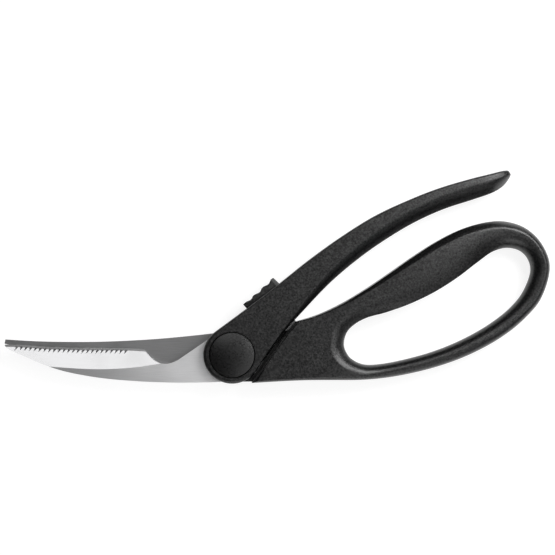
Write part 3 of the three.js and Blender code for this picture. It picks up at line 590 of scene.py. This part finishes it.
# The button's ridged top, in the lock's directions, and the ends of its foot.
BUTTON_TOP = [
    (17.6, 15.5), (19.6, 15.6), (21.1, 15.2), (22.4, 15.35), (23.6, 15.95), (24.9, 15.9),
    (26.4, 15.55), (27.4, 15.6), (28.6, 16.3), (30, 16.5), (31.5, 16.15), (32.6, 16.15),
    (33.6, 16.6), (34.5, 17.05), (35.9, 17.15),
]
BUTTON_ENDS = (17.9, 36.7)
BUTTON_ROUND = 0.45
CHAMFER_ALONG = (34, 36.2)  # the button's end away from the pivot is cut back from here to here
CHAMFER, CHAMFER_DEPTH = 1.7, 2.6
STEM_IN = 9  # the stem's inner end, out from the line through the pivot
STEM_Z = (8.1, 12)


def thumb_slide():
    """The lock's ridged button, with the stem that carries the hook."""
    low, high = (corner[2] for corner in cad_mm("lock_button"))
    foot = CHANNEL_OUT + PLAY
    profile = [(BUTTON_ENDS[0], foot), *spline(BUTTON_TOP, 8), (BUTTON_ENDS[1], foot)]
    rings = []
    for z, chamfer in ((low, 0), (high - CHAMFER_DEPTH, 0), (high, CHAMFER)):
        rings.append(np.array([(*edge_point(s - chamfer * smoothstep(*CHAMFER_ALONG, s), n), z)
                               for s, n in profile]))
    slide = soften_level_edges(loft("thumb_slide", rings), BUTTON_ROUND)
    hook_start, hook_end = cad_mm_along("lock_hook")
    stem = edge_box((hook_start + FIT, hook_end - FIT), (STEM_IN, foot + 0.5), STEM_Z)
    combine(slide, [stem], "UNION")
    pin_low, pin_high = cad_mm("lock_pin")
    centre = (pin_low[:2] + pin_high[:2]) / 2
    hole_r = (pin_high[0] - pin_low[0]) / 2 + FIT / 2
    hole = cylinder(hole_r, 0, pin_high[2] + FIT, centre, 32)
    return combine(slide, [hole], "DIFFERENCE")


# ------------------------------------------------------------------ materials
RANGE_INPUTS = ("From Min", "From Max", "To Min", "To Max")
NOISE_SPAN = (0.3, 0.7)  # noise mostly stays between these
BRUSH_STRETCH = 60
PAINTED_LIGHT_FADE = (-0.062, -0.013)  # along X: where a steel's painted light near the pivot starts, and where it is at its full


class Shader:
    """A few lines that make node set-ups readable."""

    def __init__(self, name):
        self.material = bpy.data.materials.new(name)
        self.material.use_nodes = True
        self.tree = self.material.node_tree
        self.surface = self.tree.nodes["Principled BSDF"]
        self.place = self.node("ShaderNodeTexCoord").outputs["Object"]

    def node(self, kind, **settings):
        made = self.tree.nodes.new(kind)
        for key, value in settings.items():
            setattr(made, key, value)
        return made

    def link(self, source, target):
        self.tree.links.new(source, target)

    def mapping(self, scale, turn):
        node = self.node("ShaderNodeMapping")
        node.inputs["Scale"].default_value = scale
        node.inputs["Rotation"].default_value = (0, 0, turn)
        self.link(self.place, node.inputs["Vector"])
        return node.outputs["Vector"]

    def noise(self, scale, detail=4, roughness=0.5, place=None):
        node = self.node("ShaderNodeTexNoise")
        node.inputs["Scale"].default_value = scale
        node.inputs["Detail"].default_value = detail
        node.inputs["Roughness"].default_value = roughness
        self.link(place or self.place, node.inputs["Vector"])
        return node.outputs["Fac"]

    def ramp(self, source, low, high, start=0.0, end=1.0):
        """A number between low and high, or a colour between two colours."""
        if isinstance(low, tuple):
            node = self.node("ShaderNodeValToRGB")
            node.color_ramp.elements[0].position = start
            node.color_ramp.elements[1].position = end
            node.color_ramp.elements[0].color = (*low, 1)
            node.color_ramp.elements[1].color = (*high, 1)
            self.link(source, node.inputs["Fac"])
            return node.outputs["Color"]
        node = self.node("ShaderNodeMapRange")
        for key, value in zip(RANGE_INPUTS, (start, end, low, high)):
            node.inputs[key].default_value = value
        self.link(source, node.inputs["Value"])
        return node.outputs["Result"]

    def along_x(self, colour, start, end, gain):
        """The colour as it is up to one place along X, and times a gain past another."""
        axes = self.node("ShaderNodeSeparateXYZ")
        self.link(self.place, axes.inputs[0])
        scale = self.node("ShaderNodeVectorMath", operation="SCALE")
        self.link(colour, scale.inputs[0])
        self.link(self.ramp(axes.outputs["X"], 1.0, gain, start, end), scale.inputs["Scale"])
        return scale.outputs["Vector"]

    def bump(self, source, strength, distance):
        node = self.node("ShaderNodeBump")
        node.inputs["Strength"].default_value = strength
        node.inputs["Distance"].default_value = distance
        self.link(source, node.inputs["Height"])
        return node.outputs["Normal"]

    def set(self, **values):
        """Sets or links the surface's inputs, with _ for the spaces in their names."""
        for key, value in values.items():
            socket = self.surface.inputs[key.replace("_", " ")]
            if isinstance(value, bpy.types.NodeSocket):
                self.link(value, socket)
            else:
                socket.default_value = (*value, 1) if isinstance(value, tuple) else value
        return self.material


def moulded_plastic(name, dark, light, roughness, grain):
    """Black moulded plastic with a fine spark-eroded grain."""
    shader = Shader(name)
    fine = shader.noise(1200, detail=3, roughness=0.6)
    broad = shader.noise(45, detail=4)
    colour = shader.ramp(broad, dark, light, *NOISE_SPAN)
    rough = shader.ramp(fine, roughness - 0.07, roughness + 0.09, *NOISE_SPAN)
    sheen = shader.ramp(fine, 0.5 - 0.3 * grain, 0.5 + 0.3 * grain, *NOISE_SPAN)
    normal = shader.bump(fine, grain, 0.00008)
    return shader.set(Base_Color=colour, Roughness=rough, Normal=normal, IOR=1.52,
                      Specular_IOR_Level=sheen)


def brushed_steel(name, dark, light, roughness, turn, strength, hub_painted_light=1.0):
    """Steel with grinding lines that run at an angle to the row's X axis, its colour times a gain
    near the pivot: painted light that lifts the steel where the hub shades it."""
    shader = Shader(name)
    across = shader.mapping((1, BRUSH_STRETCH, 1), turn)
    lines = shader.noise(140, detail=6, roughness=0.7, place=across)
    broad = shader.noise(60, detail=3)
    colour = shader.ramp(lines, dark, light, *NOISE_SPAN)
    # painted light: the colour grows paler towards the pivot, where the hub's shadow falls
    colour = shader.along_x(colour, *PAINTED_LIGHT_FADE, hub_painted_light)
    rough = shader.ramp(broad, roughness - 0.05, roughness + 0.05, *NOISE_SPAN)
    normal = shader.bump(lines, strength, 0.00004)
    return shader.set(Base_Color=colour, Roughness=rough, Normal=normal, Metallic=1.0)


def plain_metal(name, dark, light, roughness):
    """Turned or drawn metal, slightly uneven."""
    shader = Shader(name)
    patches = shader.noise(900, detail=5)
    colour = shader.ramp(patches, dark, light, *NOISE_SPAN)
    rough = shader.ramp(patches, roughness - 0.06, roughness + 0.08, *NOISE_SPAN)
    return shader.set(Base_Color=colour, Roughness=rough, Metallic=1.0,
                      Normal=shader.bump(patches, 0.25, 0.00003))


def soft_rubber():
    """Matt black rubber for the stop's bumper."""
    shader = Shader("soft_rubber")
    grain = shader.noise(3000, detail=4)
    colour = shader.ramp(grain, (0.012, 0.012, 0.012), (0.03, 0.03, 0.03))
    rough = shader.ramp(grain, 0.7, 0.9)
    return shader.set(Base_Color=colour, Roughness=rough, Normal=shader.bump(grain, 0.4, 0.0001))


def steel(value):
    """A grey with a touch of blue."""
    return (value, value, value * 1.01)


BLACK, WORN_BLACK = (0.0015, 0.0015, 0.0016), (0.0028, 0.0028, 0.003)
HANDLE = moulded_plastic("handle_grain", BLACK, WORN_BLACK, 0.37, 0.8)
CAP = moulded_plastic("cap_satin", BLACK, WORN_BLACK, 0.31, 0.25)
SLIDE_PLASTIC = moulded_plastic("slide_grain", BLACK, WORN_BLACK, 0.38, 0.6)
# The satin blade carries painted light near the pivot, against the hub's shadow.
SATIN = brushed_steel("satin_blade", steel(0.50), steel(0.58), 0.44, math.radians(90), 0.2,
                      hub_painted_light=1.72)
GROUND = brushed_steel("ground_blade", steel(0.24), steel(0.32), 0.46, math.radians(62), 0.22)
POLISHED = brushed_steel("polished_bevel", steel(0.46), steel(0.51), 0.16, math.radians(90), 0.05)
HONED = brushed_steel("honed_edge", steel(0.42), steel(0.50), 0.34, math.radians(90), 0.15)
BRIGHT = plain_metal("turned_steel", steel(0.5), steel(0.62), 0.28)
DARK_STEEL = plain_metal("pressed_steel", steel(0.2), steel(0.28), 0.45)
SPRING = plain_metal("spring_wire", steel(0.28), steel(0.38), 0.3)
BRONZE = plain_metal("bearing_bronze", (0.42, 0.28, 0.13), (0.55, 0.38, 0.19), 0.38)
RUBBER = soft_rubber()


def wear(obj, *materials):
    """Gives an object these materials, in this order, in place of its own."""
    obj.data.materials.clear()
    for material in materials:
        obj.data.materials.append(material)


# ------------------------------------------------------------------ build the pieces
def add_piece(obj, body, replaced, material):
    wear(obj, material)
    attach(obj, body)
    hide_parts(replaced)


lever = shade(lever_grip(), 24, weighted=True)
loop = shade(loop_grip(), 24, weighted=True)
add_piece(lever, "lever_side", "lever_handle", HANDLE)
add_piece(loop, "loop_side", "loop_handle", HANDLE)
add_piece(shade(front_cap(), 12), "lever_side", "front_pivot_cap", CAP)
add_piece(shade(rear_cap(), 30), "loop_side", "rear_pivot_cap", CAP)
add_piece(shade(thumb_slide(), 35), "lock", "lock_button", SLIDE_PLASTIC)

spring = shade(coil_spring(), 60)
wear(spring, SPRING)
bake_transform(spring)
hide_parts("torsion_spring")


# How level a blade's face lies, as its normal's share of Z: the flats, then the wide bevel, then
# the hone with the serrations, and below the last the blade's upright sides.
FLAT, BEVEL, STEEP = 0.9995, 0.965, 0.3


def blade_finish(level):
    """Which of a blade's materials a face takes: 0 flats and sides, 1 wide bevel, 2 hone."""
    if level > FLAT or level < STEEP:
        return 0
    return 1 if level > BEVEL else 2


def dress_blades():
    """The CAD's blades keep their shape: satin or ground flats, a polished bevel, a honed edge."""
    for name, flat in (("front_blade", SATIN), ("rear_blade", GROUND)):
        blade = NODES[name]
        wear(blade, flat, POLISHED, HONED)
        for face in blade.data.polygons:
            face.material_index = blade_finish(abs(face.normal.z))
        shade(blade, 5)


def dress_hardware():
    """The CAD's small hardware keeps its shape too, with softened edges."""
    finishes = {
        "pivot_bolt": BRIGHT,
        "pivot_nut": BRIGHT,
        "rear_thrust_washer": BRIGHT,
        "front_thrust_washer": BRIGHT,
        "stop_pin": BRIGHT,
        "lock_hook": DARK_STEEL,
        "lock_pin": BRIGHT,
        "pivot_bush": BRONZE,
        "blade_shim": BRONZE,
        "detent_spring": SPRING,
        "stop_bumper": RUBBER,
    }
    for name, material in finishes.items():
        wear(NODES[name], material)
        bevel(NODES[name], 0.12, 2)
        shade(NODES[name], 30)


dress_blades()
dress_hardware()


# ------------------------------------------------------------------ floor, light, camera
VIEW_CENTRE = Vector((20.64, 35.23, MID)) * MM
VIEW_WIDTH = 254.6 * MM
CAMERA_HEIGHT = 0.9


def make_floor():
    """A white table that gives off light of its own, just below the part."""
    size = 6000
    corners = [(-size, -size, 0), (size, -size, 0), (size, size, 0), (-size, size, 0)]
    floor = mesh_object("floor", corners, [(0, 1, 2, 3)])
    floor.location.z = -0.0002
    shader = Shader("floor_white")
    faint = shader.noise(3, detail=2)
    shader.set(Base_Color=shader.ramp(faint, (0.24, 0.24, 0.24), (0.26, 0.26, 0.26)), Roughness=0.9,
               Emission_Color=(1.0, 1.0, 1.0), Emission_Strength=0.85)
    wear(floor, shader.material)


def softbox(name, azimuth, tilt, distance, width, height, radiance):
    """An area light that faces the object from a direction; tilt is from straight above."""
    data = bpy.data.lights.new(name, "AREA")
    data.shape = "RECTANGLE"
    data.size, data.size_y = width, height
    data.energy = radiance * math.pi * width * height
    light = bpy.data.objects.new(name, data)
    a, t = math.radians(azimuth), math.radians(tilt)
    direction = Vector((math.sin(t) * math.cos(a), math.sin(t) * math.sin(a), math.cos(t)))
    light.location = VIEW_CENTRE + direction * distance
    light.rotation_euler = direction.to_track_quat("Z", "Y").to_euler()
    light.visible_camera = False
    bpy.context.scene.collection.objects.link(light)


def make_world():
    """A pale room that is dark on the left, darker overhead and white to the camera."""
    world = bpy.data.worlds.new("studio")
    bpy.context.scene.world = world
    world.use_nodes = True
    tree = world.node_tree
    tree.nodes.clear()

    def node(kind, **values):
        made = tree.nodes.new(kind)
        for key, value in values.items():
            made.inputs[key].default_value = value
        return made

    place = node("ShaderNodeTexCoord")
    axes = tree.nodes.new("ShaderNodeSeparateXYZ")
    tree.links.new(place.outputs["Generated"], axes.inputs[0])

    def fade(axis, places, strengths):
        """A strength that goes smoothly from one value to another between two places."""
        made = tree.nodes.new("ShaderNodeMapRange")
        for key, value in zip(RANGE_INPUTS, (*places, *strengths)):
            made.inputs[key].default_value = value
        made.interpolation_type = "SMOOTHSTEP"
        tree.links.new(axes.outputs[axis], made.inputs["Value"])
        return made.outputs["Result"]

    product = tree.nodes.new("ShaderNodeMath")
    product.operation = "MULTIPLY"
    tree.links.new(fade("X", (-0.75, 0.15), (0.02, 0.95)), product.inputs[0])
    tree.links.new(fade("Z", (0.02, 0.22), (1.0, 0.08)), product.inputs[1])
    room = node("ShaderNodeBackground", Color=(1, 1, 1, 1))
    tree.links.new(product.outputs[0], room.inputs["Strength"])
    backdrop = node("ShaderNodeBackground", Color=(1, 1, 1, 1), Strength=1.0)
    path = tree.nodes.new("ShaderNodeLightPath")
    mix = tree.nodes.new("ShaderNodeMixShader")
    tree.links.new(path.outputs["Is Camera Ray"], mix.inputs[0])
    tree.links.new(room.outputs[0], mix.inputs[1])
    tree.links.new(backdrop.outputs[0], mix.inputs[2])
    output = tree.nodes.new("ShaderNodeOutputWorld")
    tree.links.new(mix.outputs[0], output.inputs["Surface"])


def make_camera():
    """Straight above the part, which just fits across the frame."""
    sensor = 36
    data = bpy.data.cameras.new("camera")
    data.sensor_width = sensor
    data.lens = sensor * CAMERA_HEIGHT / VIEW_WIDTH
    data.clip_start, data.clip_end = 0.01, 50
    camera = bpy.data.objects.new("camera", data)
    camera.location = VIEW_CENTRE + Vector((0, 0, CAMERA_HEIGHT))
    bpy.context.scene.collection.objects.link(camera)
    bpy.context.scene.camera = camera


make_floor()
# Each light's name, azimuth, tilt, distance, width, height and radiance.
softbox("key", 40, 42, 0.45, 0.2, 0.2, 12)
softbox("top_panel", 0, 4, 1.4, 0.5, 0.5, 0.3)
softbox("back_panel", 110, 25, 1.5, 0.75, 0.6, 1.7)
softbox("side_panel", 8, 35, 1.5, 1.3, 0.9, 1.7)
softbox("lower_panel", -60, 27, 1.5, 0.55, 0.5, 1.2)
softbox("front_panel", -88, 60, 1.5, 1.0, 0.7, 2.6)
make_world()
make_camera()
bpy.context.scene.view_settings.view_transform = "Standard"
